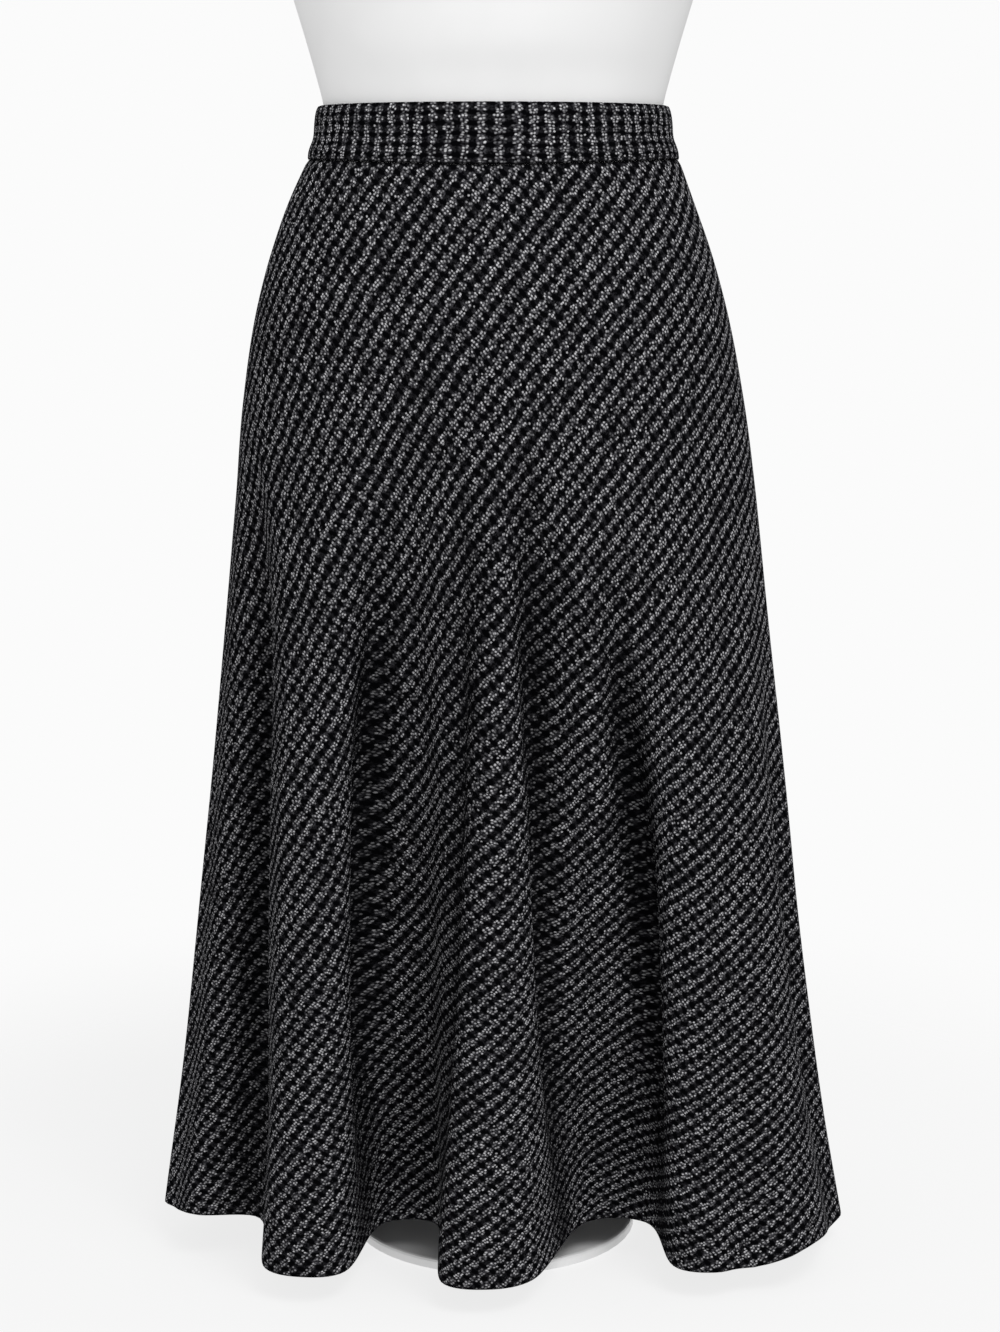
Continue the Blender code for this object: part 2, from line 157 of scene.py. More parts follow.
HEM_LIFTS = tuple(
    HemLift(*row)
    for row in (
        (-0.240, 0.0), (-0.230, 0.0013), (-0.222, 0.0036), (-0.215, 0.0046),
        (-0.205, 0.0029), (-0.195, 0.0014), (-0.180, 0.0), (0.142, 0.0),
        (0.150, -0.0018), (0.156, -0.0002), (0.163, 0.0032), (0.170, 0.0064),
        (0.176, 0.0078), (0.182, 0.0082), (0.188, 0.0072), (0.195, 0.0042),
        (0.202, 0.0004), (0.209, -0.0034), (0.215, -0.0046), (0.221, -0.0026),
        (0.232, 0.0),
    )
)


class Crease(NamedTuple):
    """A soft trough (depth above 0) or ridge (below 0) along a line on the cloth."""

    name: str
    top_share: float
    top_z: float
    low_share: float
    low_z: float
    width: float
    depth: float


CREASES = (
    Crease("left panel", -0.1895, 0.56, -0.1930, 0.030, 0.0120, 0.0100),
    Crease("left panel edge", -0.176, 0.47, -0.178, 0.060, 0.0110, -0.0030),
    Crease("right foot of the left fold", -0.0860, 0.54, -0.1020, 0.030, 0.0125, 0.0190),
    Crease("between left and middle", -0.0680, 0.42, -0.0730, 0.060, 0.0130, -0.0040),
    Crease("left of the ridge", -0.0150, 0.62, -0.0170, 0.330, 0.0100, 0.0020),
    Crease("left flank of the middle fold", -0.0165, 0.58, -0.0340, 0.030, 0.0140, 0.0120),
    Crease("middle ridge", 0.003, 0.66, 0.005, 0.160, 0.0110, -0.0030),
    Crease("right of the ridge", 0.0200, 0.60, 0.0240, 0.330, 0.0095, 0.0040),
    Crease("right foot of the middle fold", 0.0250, 0.56, 0.0450, 0.030, 0.0110, 0.0165),
    Crease("between middle and right", 0.0640, 0.48, 0.0700, 0.050, 0.0170, -0.0070),
    Crease("left foot of the right fold", 0.0780, 0.52, 0.1050, 0.030, 0.0120, 0.0185),
    Crease("right fold", 0.138, 0.46, 0.146, 0.110, 0.0200, -0.0020),
    Crease("right side, front", 0.206, 0.44, 0.213, 0.050, 0.0120, 0.0050),
    Crease("right side, back", 0.283, 0.48, 0.290, 0.070, 0.0110, 0.0050),
    Crease("back right, outer", 0.322, 0.40, 0.330, 0.045, 0.0100, 0.0060),
    Crease("back right, inner", 0.402, 0.52, 0.396, 0.060, 0.0100, 0.0050),
    Crease("back ridge", 0.452, 0.60, 0.458, 0.200, 0.0140, -0.0030),
    Crease("back middle, right", 0.476, 0.50, 0.470, 0.050, 0.0100, 0.0060),
    Crease("back middle, left", -0.462, 0.56, -0.452, 0.060, 0.0110, 0.0050),
    Crease("back left, inner", -0.412, 0.44, -0.402, 0.050, 0.0100, 0.0060),
    Crease("back left ridge", -0.372, 0.54, -0.364, 0.160, 0.0160, -0.0030),
    Crease("back left, outer", -0.335, 0.42, -0.322, 0.050, 0.0110, 0.0055),
    Crease("left side, back", -0.266, 0.50, -0.262, 0.060, 0.0110, 0.0045),
)


class GrainStep(NamedTuple):
    """How the bias cut hangs at a distance under the waist seam.

    Lean is the angle of both thread sets from the upright line between them, closeness is how
    much nearer the threads lie than at the waist, and turn is the upright line's own slant.
    """

    name: str
    fallen: float
    lean: float
    closeness: float
    turn: float


GRAIN = (
    GrainStep("waist", 0.0000, 40.3, 1.000, -7.7),
    GrainStep("hip", 0.2000, 38.4, 1.006, -4.4),
    GrainStep("thigh", 0.4000, 46.1, 1.063, -2.9),
    GrainStep("calf", 0.5600, 49.7, 1.112, -1.2),
    GrainStep("hem", 0.7155, 50.0, 1.141, 3.7),
)


class BandSection(NamedTuple):
    """One ring of the band's outer face, from the seam (rise 0) to the top (rise 1)."""

    name: str
    rise: float
    side: float
    front: float
    back: float


BAND_SECTIONS = (
    BandSection("seam", 0.00, 0.1240, 0.0946, 0.0951),
    BandSection("flare", 0.18, 0.1228, 0.0940, 0.0944),
    BandSection("hollow", 0.38, 0.1201, 0.0928, 0.0934),
    BandSection("bulge", 0.68, 0.1190, 0.0922, 0.0930),
    BandSection("shoulder", 0.88, 0.1182, 0.0916, 0.0926),
    BandSection("top", 1.00, 0.1172, 0.0908, 0.0920),
)


class BandCorner(NamedTuple):
    """A corner of the band's cross-section: its rise, and its depth in thicknesses."""

    rise: float
    depth: float


BAND_CORNERS = tuple(
    BandCorner(*row)
    for row in (
        (0.00, 0.14), (0.03, 0.02), (0.12, 0.00), (0.45, 0.00), (0.80, 0.00),
        (0.93, 0.06), (0.985, 0.20), (1.00, 0.40), (1.00, 0.60), (0.985, 0.80),
        (0.93, 0.94), (0.60, 1.00), (0.12, 1.00), (0.03, 0.98), (0.00, 0.86),
    )
)


class FormSection(NamedTuple):
    """One ring of the dress form: half sizes from its axis."""

    name: str
    z: float
    side: float
    front: float
    back: float


FORM_SECTIONS = tuple(
    FormSection(*row)
    for row in (
        ("top", 0.9000, 0.1380, 0.1040, 0.0980),
        ("top edge", 0.8970, 0.1430, 0.1085, 0.1020),
        ("top round", 0.8880, 0.1438, 0.1090, 0.1025),
        ("ribs", 0.8480, 0.1314, 0.1020, 0.0960),
        ("under ribs", 0.8170, 0.1222, 0.0950, 0.0905),
        ("over waist", 0.7960, 0.1164, 0.0885, 0.0875),
        ("over band", 0.7850, 0.1136, 0.0862, 0.0862),
        ("waist", 0.7720, 0.1116, 0.0850, 0.0852),
        ("band foot", 0.7480, 0.1154, 0.0876, 0.0876),
        ("below band", 0.7190, 0.1290, 0.0945, 0.0960),
        ("high hip", 0.6860, 0.1420, 0.0995, 0.1035),
        ("upper hip", 0.6530, 0.1510, 0.1020, 0.1075),
        ("full hip", 0.6200, 0.1550, 0.1015, 0.1085),
        ("hip", 0.5860, 0.1540, 0.0980, 0.1060),
        ("low hip", 0.5400, 0.1480, 0.0925, 0.1020),
        ("thigh", 0.5000, 0.1370, 0.0860, 0.0940),
        ("closing", 0.4650, 0.1180, 0.0740, 0.0800),
        ("underside", 0.4430, 0.0920, 0.0580, 0.0620),
        ("bottom", 0.4300, 0.0450, 0.0360, 0.0380),
    )
)


# ------------------------------------------------------------------ shape of the cloth
def table_value(table: tuple, key: str, column: str, where: np.ndarray | float) -> np.ndarray:
    """Read a table's column smoothly, by a cubic through its rows.

    Args:
        table: Rows with named columns.
        key: The column that holds the places.
        column: The column that holds the values.
        where: The places to read at.

    Returns:
        The values there.
    """
    rows = sorted((getattr(row, key), getattr(row, column)) for row in table)
    places, values = np.array(rows).T
    slopes = np.gradient(values, places)
    where = np.clip(where, places[0], places[-1])
    low = np.clip(np.searchsorted(places, where) - 1, 0, len(places) - 2)
    span = places[low + 1] - places[low]
    part = (where - places[low]) / span
    return (
        (2 * part**3 - 3 * part**2 + 1) * values[low]
        + (part**3 - 2 * part**2 + part) * span * slopes[low]
        + (3 * part**2 - 2 * part**3) * values[low + 1]
        + (part**3 - part**2) * span * slopes[low + 1]
    )


def oval(
    left: float, right: float, front: float, back: float, power: float = 2.0, steps: int = 720
) -> np.ndarray:
    """Make a closed outline by even polar angles, from the back centre over -X.

    Args:
        left: Half width towards -X.
        right: Half width towards +X.
        front: Half depth towards -Y.
        back: Half depth towards +Y.
        power: 2 is an ellipse, more is squarer.
        steps: Number of even steps.

    Returns:
        Plan points, the last on the first.
    """
    angles = np.linspace(-math.pi, math.pi, steps + 1)
    across, along = np.sin(angles), np.cos(angles)
    wide = np.where(across < 0, left, right)
    deep = np.where(along > 0, front, back)
    radius = ((np.abs(across) / wide) ** power + (np.abs(along) / deep) ** power) ** (-1 / power)
    return np.stack([radius * across, -radius * along], axis=1)


class Outline:
    """A closed plan curve, read by the share of its length, 0 at the centre front."""

    def __init__(self, points: np.ndarray) -> None:
        """Measure the curve.

        Args:
            points: The curve's points. The first two columns are x and y.
        """
        self.points = points
        steps = np.linalg.norm(np.diff(points[:, :2], axis=0), axis=1)
        self.length = float(steps.sum())
        self.shares = np.concatenate([[0.0], np.cumsum(steps)]) / self.length
        x, y = points[:, 0], points[:, 1]
        before = np.flatnonzero((x[:-1] <= 0) & (x[1:] > 0) & (y[:-1] < 0))[0]
        part = -x[before] / (x[before + 1] - x[before])
        self.front = self.shares[before] + part * (self.shares[before + 1] - self.shares[before])

    def at(self, share: np.ndarray) -> np.ndarray:
        """Every column of the curve at the given shares."""
        place = (np.asarray(share) + self.front) % 1.0
        return np.stack([np.interp(place, self.shares, column) for column in self.points.T], axis=1)


def closed_spline(turns: np.ndarray, steps: int) -> np.ndarray:
    """Draw a rounded closed curve through the turns: a centripetal Catmull-Rom spline.

    Args:
        turns: The turning points, x and y first.
        steps: Points between two turns.

    Returns:
        The curve, closed.
    """
    curve = []
    count = len(turns)
    for index in range(count):
        group = [turns[(index + shift) % count] for shift in (-1, 0, 1, 2)]
        knots = [0.0]
        for first, second in zip(group, group[1:]):
            knots.append(knots[-1] + math.sqrt(np.linalg.norm((second - first)[:2])))
        for place in np.linspace(knots[1], knots[2], steps, endpoint=False):
            level = list(group)
            for reach in (1, 2):
                level = [
                    ((knots[i + reach] - place) * level[i] + (place - knots[i]) * level[i + 1])
                    / (knots[i + reach] - knots[i])
                    for i in range(len(level) - 1)
                ]
            share = (place - knots[1]) / (knots[2] - knots[1])
            curve.append(level[0] * (1 - share) + level[1] * share)
    curve.append(curve[0])
    return np.array(curve)


class Wave(NamedTuple):
    """One wave of the cloth's ripple: how many go around, and to a metre down."""

    around: float
    down: float
    phase: float
    height: float


WAVES = (Wave(3.1, 1.7, 1.0, 1.0), Wave(7.3, -2.9, 1.9, 0.7), Wave(13.7, 5.3, 2.7, 0.5))


def ripple(share: np.ndarray, z: np.ndarray | float, seed: float) -> np.ndarray:
    """Uneven soft waves from -1 to 1 over the cloth, the same in each run.

    Args:
        share: Places round the cloth.
        z: Heights on it.
        seed: Shifts the waves.

    Returns:
        The waves' height at each place.
    """
    total = sum(
        wave.height * np.sin(TAU * (wave.around * share + wave.down * z + wave.phase * seed))
        for wave in WAVES
    )
    return total / sum(wave.height for wave in WAVES)


@dataclass
class SkirtShape:
    """The skirt's outer surface, the same as the solids', with finer creases on it."""

    creases: tuple[Crease, ...] = CREASES
    crease_fade: float = 0.40
    hem_reach: float = 0.08
    ripple_height: float = 0.0007
    ripple_seed: float = 0.3
    quiet_share: float = 0.1
    slope_step: float = 0.0005
    spline_steps: int = 24
    hem_outline: Outline = field(init=False)
    hem_hull: Outline = field(init=False)

    def __post_init__(self) -> None:
        """Draw the hem's plan once."""
        self.hem_outline = Outline(closed_spline(self._turns(), self.spline_steps))
        self.hem_hull = self.hull(HEM_Z)

    @staticmethod
    def _turns() -> np.ndarray:
        """Read the turning points of the hem's plan from the folds.

        Returns:
            Rows of x, y, the height where the fold begins, and how far its hem drops.
        """
        turns = []
        for fold in FOLDS:
            crest = (fold.crest_x, fold.crest_y, fold.lobe, fold.crest_turn, fold.crest_start)
            valley = (fold.valley_x, fold.valley_y, fold.floor, fold.valley_turn, fold.valley_start)
            for (x, y, breadth, turn, start), rounding, drop in (
                (crest, CREST_ROUNDING, fold.drop),
                (valley, -VALLEY_ROUNDING, fold.valley_drop),
            ):
                heading = np.array([math.cos(math.radians(turn)), math.sin(math.radians(turn))])
                inward = np.array([-heading[1], heading[0]])
                for side in (-0.5, 0.0, 0.5) if rounding > 0 else (-0.5, 0.5):
                    place = np.array([x, y]) + side * breadth * heading
                    if side:
                        place = place + inward * breadth * rounding
                    turns.append([place[0], place[1], start, drop])
        return np.array(turns)

    @staticmethod
    def hull(z: float) -> Outline:
        """The smooth hull at a height."""
        columns = ("left", "right", "front", "back", "power")
        return Outline(oval(*(table_value(SECTIONS, "z", column, z) for column in columns)))

    @staticmethod
    def seam_dip(share: np.ndarray) -> np.ndarray:
        """How far the seam of band and skirt lies under SEAM_Z."""
        turn = np.cos(TAU * np.asarray(share))
        return np.where(turn > 0, SEAM_DIP_FRONT, SEAM_DIP_BACK) * turn**2

    def plan(self, share: np.ndarray, z: float) -> np.ndarray:
        """Plan points of the outer face: the hull, and the folds that grow towards the hem.

        Args:
            share: Places on the ring.
            z: The ring's nominal height.

        Returns:
            Their x and y.
        """
        hem = self.hem_outline.at(share)
        start, push = hem[:, 2], hem[:, :2] - self.hem_hull.at(share)
        growth = np.clip((start - z) / (start - HEM_Z), 0.0, 1.0) ** FOLD_GROWTH
        return self.hull(z).at(share) + growth[:, None] * push

    def crease_depth(
        self, share: np.ndarray, z: float, ring: float, to_hem: bool = False
    ) -> np.ndarray:
        """How far the creases sink the cloth on one ring.

        Args:
            share: Places on the ring.
            z: The ring's nominal height.
            ring: The ring's length.
            to_hem: Whether those that reach the hem keep their depth there, as their shade does.

        Returns:
            The depths, in metres.
        """
        depth = np.zeros(len(share))
        for crease in self.creases:
            along = (crease.top_z - z) / (crease.top_z - crease.low_z)
            rise = min(1.0, along / self.crease_fade)
            if not to_hem or crease.low_z > self.hem_reach:
                rise *= min(1.0, (1 - along) / self.crease_fade)
            if rise <= 0:
                continue
            middle = crease.top_share + along * (crease.low_share - crease.top_share)
            away = ((share - middle + 0.5) % 1.0 - 0.5) * ring / crease.width
            depth += crease.depth * rise * rise * (3 - 2 * rise) * np.exp(-(away**2))
        return depth

    def ring_points(
        self, share: np.ndarray, z: float, depth: np.ndarray | float
    ) -> np.ndarray:
        """Points of one ring of the cloth.

        Args:
            share: Places on the ring.
            z: The ring's nominal height.
            depth: How far in from the outer face.

        Returns:
            Points in space.
        """
        plan = self.plan(share, z)
        ahead = self.plan(share + self.slope_step, z) - self.plan(share - self.slope_step, z)
        ahead /= np.linalg.norm(ahead, axis=1)[:, None]
        inward = np.stack([-ahead[:, 1], ahead[:, 0]], axis=1)
        down = (SEAM_Z - z) / (SEAM_Z - HEM_Z)
        turned = (np.asarray(share) + 0.5) % 1.0 - 0.5
        drop = self.hem_outline.at(share)[:, 3] - np.interp(turned, *zip(*HEM_LIFTS))
        height = z - self.seam_dip(share) * (1 - down) ** 2 - drop * down**2
        waves = min(1.0, down / self.quiet_share) * self.ripple_height
        waves = waves * ripple(share, z, self.ripple_seed)
        sunk = depth + self.crease_depth(share, z, self.hull(z).length) + waves
        return np.column_stack([plan + sunk[:, None] * inward, height])


@dataclass
class BiasGrain:
    """Adds up the grain table down the panel, in fine steps."""

    first: float = -0.03
    last: float = 0.80
    step: float = 0.001
    places: np.ndarray = field(init=False)
    shares: np.ndarray = field(init=False)
    threads: np.ndarray = field(init=False)
    drifts: np.ndarray = field(init=False)

    def __post_init__(self) -> None:
        """Read the table and sum it."""
        self.places = np.arange(self.first, self.last, self.step)
        lean, closeness, turn = (
            table_value(GRAIN, "fallen", column, self.places)
            for column in ("lean", "closeness", "turn")
        )
        self.shares = closeness / (2 * np.sin(np.radians(lean)))
        self.threads = np.cumsum(closeness / (2 * np.cos(np.radians(lean)))) * self.step
        self.drifts = np.cumsum(np.tan(np.radians(turn))) * self.step

    def closeness_across(self, fallen: np.ndarray) -> np.ndarray:
        """Length of thread for each metre across the panel."""
        return np.interp(fallen, self.places, self.shares)

    def thread_fallen(self, fallen: np.ndarray) -> np.ndarray:
        """Length of thread passed on the way down."""
        return np.interp(fallen, self.places, self.threads)

    def drift(self, fallen: np.ndarray) -> np.ndarray:
        """How far the upright line has moved to the side."""
        return np.interp(fallen, self.places, self.drifts)


# ------------------------------------------------------------------ shader maths
class Ramp(NamedTuple):
    """A smooth change from start to end while a value goes from low to high."""

    low: float
    high: float
    start: float = 0.0
    end: float = 1.0


class Socket:
    """One output of a shader node, with arithmetic that adds Math nodes."""

    def __init__(self, graph: Graph, link: bpy.types.NodeSocket) -> None:
        """Keep the node's output and the graph that it belongs to."""
        self.graph = graph
        self.link = link

    def _math(self, operation: str, first: Value, second: Value) -> Socket:
        """Add one Math node."""
        return self.graph.node("ShaderNodeMath", {"operation": operation}, {0: first, 1: second})

    def __add__(self, other: Value) -> Socket:
        """Sum."""
        return self._math("ADD", self, other)

    __radd__ = __add__

    def __sub__(self, other: Value) -> Socket:
        """Difference."""
        return self._math("SUBTRACT", self, other)

    def __rsub__(self, other: Value) -> Socket:
        """Difference, from a number."""
        return self._math("SUBTRACT", other, self)

    def __mul__(self, other: Value) -> Socket:
        """Product."""
        return self._math("MULTIPLY", self, other)

    __rmul__ = __mul__

    def __abs__(self) -> Socket:
        """Size without its sign."""
        return self._math("ABSOLUTE", self, 0.0)

    def fraction(self) -> Socket:
        """What is left after the whole number."""
        return self._math("FRACT", self, 0.0)

    def floor(self) -> Socket:
        """The whole number below."""
        return self._math("FLOOR", self, 0.0)

    def largest(self, other: Value) -> Socket:
        """The larger of two values."""
        return self._math("MAXIMUM", self, other)

    def smooth(self, ramp: Ramp) -> Socket:
        """Follow a ramp."""
        names = ("Value", "From Min", "From Max", "To Min", "To Max")
        inputs = dict(zip(names, (self, *ramp)))
        return self.graph.node("ShaderNodeMapRange", {"interpolation_type": "SMOOTHSTEP"}, inputs)


Value = Socket | float | tuple


class Graph:
    """The nodes of a material or of the room, and the shader that they feed."""

    def __init__(self, owner: bpy.types.ID, shader: str = "Principled BSDF") -> None:
        """Turn the owner's nodes on.

        Args:
            owner: The material or the world.
            shader: The name of the shader that it starts with.
        """
        owner.use_nodes = True
        self.owner = owner
        self.tree = owner.node_tree
        self.shader = self.tree.nodes[shader]

    def node(self, kind: str, settings: dict, inputs: dict, output: str | int = 0) -> Socket:
        """Add a node.

        Args:
            kind: The node's type name.
            settings: Properties that are set first.
            inputs: Values or links by socket name or number.
            output: The output to hand back.

        Returns:
            The chosen output.
        """
        made = self.tree.nodes.new(kind)
        for key, value in settings.items():
            setattr(made, key, value)
        for key, value in inputs.items():
            self._fill(made.inputs[key], value)
        return Socket(self, made.outputs[output])

    def _fill(self, socket: bpy.types.NodeSocket, value: Value) -> None:
        """Set or link one input.

        Args:
            socket: The input.
            value: What it gets.
        """
        if isinstance(value, Socket):
            self.tree.links.new(value.link, socket)
        else:
            socket.default_value = value

    def dress(self, **inputs: Value) -> None:
        """Set the shader's inputs; a name's underscores stand for spaces."""
        for key, value in inputs.items():
            self._fill(self.shader.inputs[key.replace("_", " ")], value)

    def mix(self, share: Value, first: Value, second: Value) -> Socket:
        """Mix two colours."""
        inputs = {0: share, 6: first, 7: second}
        return self.node("ShaderNodeMix", {"data_type": "RGBA"}, inputs, 2)

    def parts(self, vector: Socket) -> tuple[Socket, Socket]:
        """The x and y of a vector."""
        x = self.node("ShaderNodeSeparateXYZ", {}, {0: vector})
        return x, Socket(self, x.link.node.outputs[1])

    def join(self, x: Value, y: Value) -> Socket:
        """A flat vector from its parts."""
        return self.node("ShaderNodeCombineXYZ", {}, {0: x, 1: y, 2: 0.0})

    def bump(self, height: Socket, strength: float, distance: float) -> Socket:
        """A normal that follows a height."""
        inputs = {"Strength": strength, "Distance": distance, "Height": height}
        return self.node("ShaderNodeBump", {}, inputs)


# ------------------------------------------------------------------ finishes
class Cluster(NamedTuple):
    """A cluster's form: how soft its edge is, and how sharply it ends across its row and along."""

    softness: float
    across: float
    along: float


@dataclass(frozen=True)
class TweedFinish:
    """Black wool tweed with rows of off-white fleck clusters. Sizes are in metres."""

    row_pitch: float = 0.00845
    cluster_pitch: float = 0.00685
    row_shift: float = 0.2
    fleck_cluster: Cluster = Cluster(0.06, 8.6, 4.1)
    raised_cluster: Cluster = Cluster(0.45, 8.8, 4.6)
    weft_cluster: Cluster = Cluster(0.60, 0.0, 14.0)
    cluster_tone: Ramp = Ramp(0.0, 0.3, 0.55, 1.0)
    dot_pitch: float = 0.00205
    dot_scatter: float = 0.70
    dot_rim: Ramp = Ramp(0.14, 0.47, 1.0, 0.0)
    dot_tone: Ramp = Ramp(0.0, 0.40, 0.45, 1.0)
    stray_dots: Ramp = Ramp(0.975, 0.985)
    stray_tone: float = 0.7
    sway: float = 0.0022
    sway_scale: float = 90.0
    fibre_scale: float = 620.0
    fibre_roughness: float = 0.7
    fibre_lift: Ramp = Ramp(0.36, 0.64)
    weft_tone: float = 0.3
    # how far the painted shade darkens the weave towards the ground colour
    painted_shade_strength: float = 0.9
    ground: Colour = (0.0018, 0.0018, 0.0023, 1.0)
    thread: Colour = (0.0495, 0.0486, 0.0548, 1.0)
    fleck_dim: Colour = (0.1410, 0.1400, 0.1480, 1.0)
    fleck_bright: Colour = (0.6150, 0.6120, 0.6310, 1.0)
    fleck_height: float = 0.6
    thread_height: float = 0.2
    fibre_height: float = 0.2
    bump_strength: float = 0.8
    bump_height: float = 0.0008
    sheen: float = 0.003
    sheen_roughness: float = 0.4
    sheen_tint: Colour = (0.8, 0.8, 0.9, 1.0)

    def apply(self, graph: Graph) -> None:
        """Add the finish's nodes.

        Args:
            graph: The material's nodes.
        """
        flat = graph.node("ShaderNodeUVMap", {"uv_map": WEAVE_MAP}, {})
        plane = {"noise_dimensions": "2D"}
        slow = {"Vector": flat, "Scale": self.sway_scale, "Detail": 1.0}
        swayed = graph.node(
            "ShaderNodeVectorMath",
            {"operation": "MULTIPLY_ADD"},
            {
                0: graph.node("ShaderNodeTexNoise", plane, slow, "Color"),
                1: (self.sway, self.sway, 0.0),
                2: flat,
            },
        )
        flecks, relief, weft, tone = self._flecks(graph, swayed)
        shade = graph.node("ShaderNodeAttribute", {"attribute_name": SHADE_NAME}, {}, "Fac")
        fine = {"Vector": flat, "Scale": self.fibre_scale, "Detail": 2.0}
        fibre = graph.node("ShaderNodeTexNoise", plane, fine | {"Roughness": self.fibre_roughness})
        raised = fibre.smooth(self.fibre_lift) * relief.largest(weft * self.weft_tone)
        colour = graph.mix(raised, self.ground, self.thread)
        colour = graph.mix(flecks, colour, graph.mix(tone, self.fleck_dim, self.fleck_bright))
        # painted shade: the mesh's shade attribute darkens the weave in the crease hollows and along
        # the seams and the hem edge
        colour = graph.mix(shade * self.painted_shade_strength, colour, self.ground)
        height = flecks * self.fleck_height + relief * self.thread_height
        height = height + fibre * self.fibre_height
        bump = graph.bump(height, self.bump_strength, self.bump_height)
        graph.dress(Base_Color=colour, Roughness=1.0, Specular_IOR_Level=0.0, Normal=bump)
        graph.dress(Sheen_Weight=self.sheen, Sheen_Roughness=self.sheen_roughness)
        graph.dress(Sheen_Tint=self.sheen_tint)

    def _flecks(self, graph: Graph, swayed: Socket) -> tuple[Socket, Socket, Socket, Socket]:
        """Scatter whole round dots and keep the ones that stand in a cluster.

        Args:
            graph: The material's nodes.
            swayed: Weave coordinates in metres.

        Returns:
            The dots, the raised clusters, the dim threads between them, and each dot's tone.
        """
        scale = {0: swayed, "Scale": 1 / self.dot_pitch}
        place = graph.node("ShaderNodeVectorMath", {"operation": "SCALE"}, scale)
        dots = {"voronoi_dimensions": "2D", "feature": "F1"}
        spacing = {"Vector": place, "Scale": 1.0, "Randomness": self.dot_scatter}
        distance, tint, middle = (
            graph.node("ShaderNodeTexVoronoi", dots, spacing, output)
            for output in ("Distance", "Color", "Position")
        )
        tint, chance = graph.parts(tint)
        kept = self._cluster(graph, middle, self.fleck_cluster)
        kept = kept.largest(chance.smooth(self.stray_dots) * self.stray_tone)
        flecks = distance.smooth(self.dot_rim) * kept * tint.smooth(self.dot_tone)
        relief = self._cluster(graph, place, self.raised_cluster)
        return flecks, relief, self._cluster(graph, place, self.weft_cluster), chance

    def _cluster(self, graph: Graph, place: Socket, form: Cluster) -> Socket:
        """How far a place is inside a cluster of flecks, 0 to 1.

        Args:
            graph: The material's nodes.
            place: Weave coordinates in dot pitches.
            form: The cluster's form.

        Returns:
            The share.
        """
        along, across = graph.parts(place)
        along = along * (self.dot_pitch / self.cluster_pitch)
        across = across * (self.dot_pitch / self.row_pitch)
        row = across.floor()
        shift = graph.node("ShaderNodeTexWhiteNoise", {"noise_dimensions": "1D"}, {"W": row})
        along = along + shift * self.row_shift
        wide, long = abs(across.fraction() - 0.5), abs(along.fraction() - 0.5)
        away = wide * wide * form.across + long * long * form.along
        cell = {"Vector": graph.join(along.floor(), row)}
        tone = graph.node("ShaderNodeTexWhiteNoise", {"noise_dimensions": "2D"}, cell)
        edge = Ramp(1.0 - form.softness, 1.0 + form.softness, 1.0, 0.0)
        return away.smooth(edge) * tone.smooth(self.cluster_tone)


@dataclass(frozen=True)
class SmoothFinish:
    """A smooth moulded, painted or plated surface with a fine grain and faint wear."""

    colour: Colour
    roughness: float
    metallic: float = 0.0
    coat: float = 0.0
    grain: float = 600.0
    grain_strength: float = 0.5
    grain_height: float = 0.00005
    wear_scale: float = 9.0
    wear_dimming: float = 0.94
    wear_tone: Ramp = Ramp(0.35, 0.70)
    wear_gloss: Pair = (0.3, 0.7)
    polish: float = 0.04
    rub: float = 0.05

    def apply(self, graph: Graph) -> None:
        """Add the finish's nodes.

        Args:
            graph: The material's nodes.
        """
        place = graph.node("ShaderNodeTexCoord", {}, {}, "Object")
        grain, wear = (
            graph.node("ShaderNodeTexNoise", {}, {"Vector": place, "Scale": scale, "Detail": 3.0})
            for scale in (self.grain, self.wear_scale)
        )
        worn = tuple(channel * self.wear_dimming for channel in self.colour[:3]) + (1.0,)
        gloss = Ramp(*self.wear_gloss, self.roughness - self.polish, self.roughness + self.rub)
        graph.dress(
            Base_Color=graph.mix(wear.smooth(self.wear_tone), self.colour, worn),
            Roughness=wear.smooth(gloss),
            Metallic=self.metallic,
            Coat_Weight=self.coat,
            Normal=graph.bump(grain, self.grain_strength, self.grain_height),
        )


@dataclass(frozen=True)
class TapeFinish:
    """Plain woven zip tape: fine ribs across it."""

    colour: Colour = (0.010, 0.010, 0.011, 1.0)
    light: Colour = (0.030, 0.030, 0.033, 1.0)
    roughness: float = 0.8
    rib_pitch: float = 0.0007
    rib_share: float = 0.7
    herring_share: float = 0.3
    bump_strength: float = 0.6
    bump_height: float = 0.0002

    def apply(self, graph: Graph) -> None:
        """Add the finish's nodes.

        Args:
            graph: The material's nodes.
        """
        across, down = graph.parts(graph.node("ShaderNodeUVMap", {"uv_map": WEAVE_MAP}, {}))
        rib = abs((down * (1 / self.rib_pitch)).fraction() - 0.5) * 2
        herring = abs((across * (0.5 / self.rib_pitch)).fraction() - 0.5) * 2
        height = rib * self.rib_share + herring * self.herring_share
        bump = graph.bump(height, self.bump_strength, self.bump_height)
        colour = graph.mix(height, self.colour, self.light)
        graph.dress(Base_Color=colour, Roughness=self.roughness, Normal=bump)


